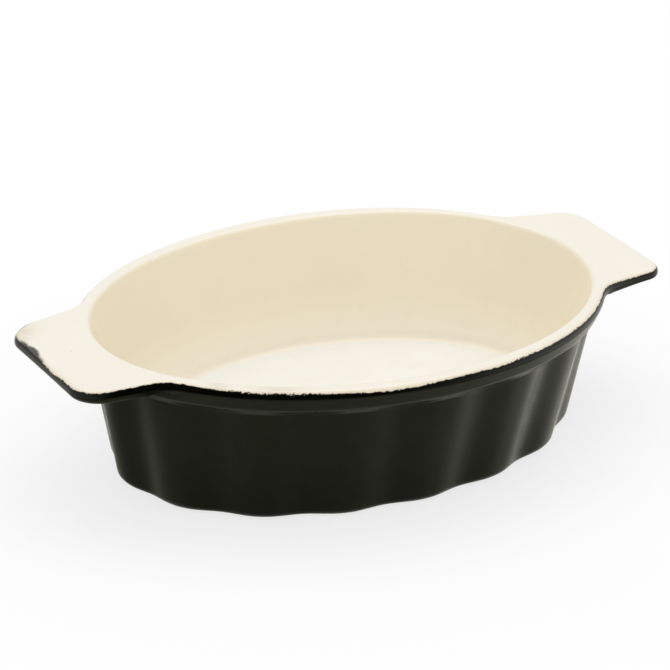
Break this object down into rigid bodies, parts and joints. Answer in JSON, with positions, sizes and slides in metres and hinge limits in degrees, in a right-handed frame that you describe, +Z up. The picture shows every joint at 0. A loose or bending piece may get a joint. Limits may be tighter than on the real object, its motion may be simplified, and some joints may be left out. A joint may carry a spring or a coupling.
{
  "type": "baking dish",
  "caption": "Oval glazed stoneware baking dish with a fluted wall, a plain collar below the rim, a bare foot ring and a flat tab handle at each end.",
  "frame": {"origin": "on the table, under the middle of the dish", "axes": "+X along the line of the two handles, +Y across the dish, +Z up out of the opening"},
  "size_m": [0.3002, 0.1962, 0.0707],
  "materials": {
    "stoneware": "bare fired buff stoneware, matt and slightly gritty",
    "cream_glaze": "glossy cream glaze with faint mottling",
    "black_glaze": "glossy black glaze with a slight green-brown cast"
  },
  "bodies": {
    "root": {"bowl": "stoneware", "handle_left": "stoneware", "handle_right": "stoneware", "glaze_inside": "cream_glaze", "glaze_outside": "black_glaze", "glaze_base": "black_glaze"}
  },
  "joints": []
}
